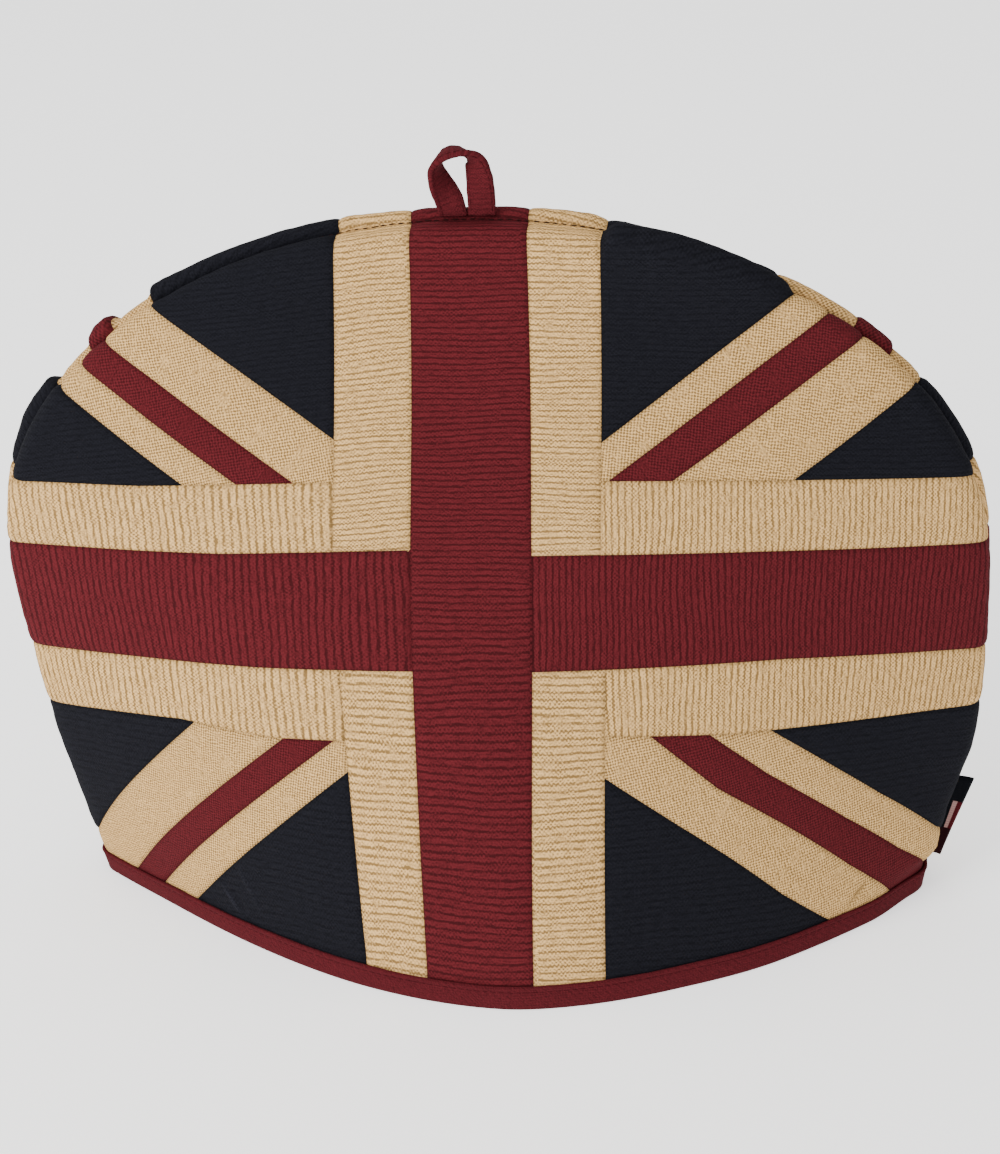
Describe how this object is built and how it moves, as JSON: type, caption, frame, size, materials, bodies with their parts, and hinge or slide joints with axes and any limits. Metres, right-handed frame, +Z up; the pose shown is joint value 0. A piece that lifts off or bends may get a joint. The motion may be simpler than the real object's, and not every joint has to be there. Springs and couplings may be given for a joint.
{
  "type": "tea cosy",
  "caption": "Padded dome-shaped patchwork tea cosy, open below, with bound hem, curved top seam, hanging loop and a small side tag.",
  "frame": {"origin": "middle of the hem, on the surface that the cosy stands on", "axes": "+Z up, +X along the seam's plane towards the side with the tag, front panel faces -Y"},
  "size_m": [0.356, 0.182, 0.2888],
  "materials": {
    "patchwork_canvas": "matt cotton canvas, pieced in cream, dark red and navy",
    "red_canvas": "matt dark red cotton canvas",
    "tag_ribbon": "dark woven ribbon with plain bars"
  },
  "bodies": {
    "root": {"front_panel": "patchwork_canvas", "back_panel": "patchwork_canvas", "hem_binding": "red_canvas", "hanging_loop": "red_canvas", "side_tag": "tag_ribbon"}
  },
  "joints": []
}
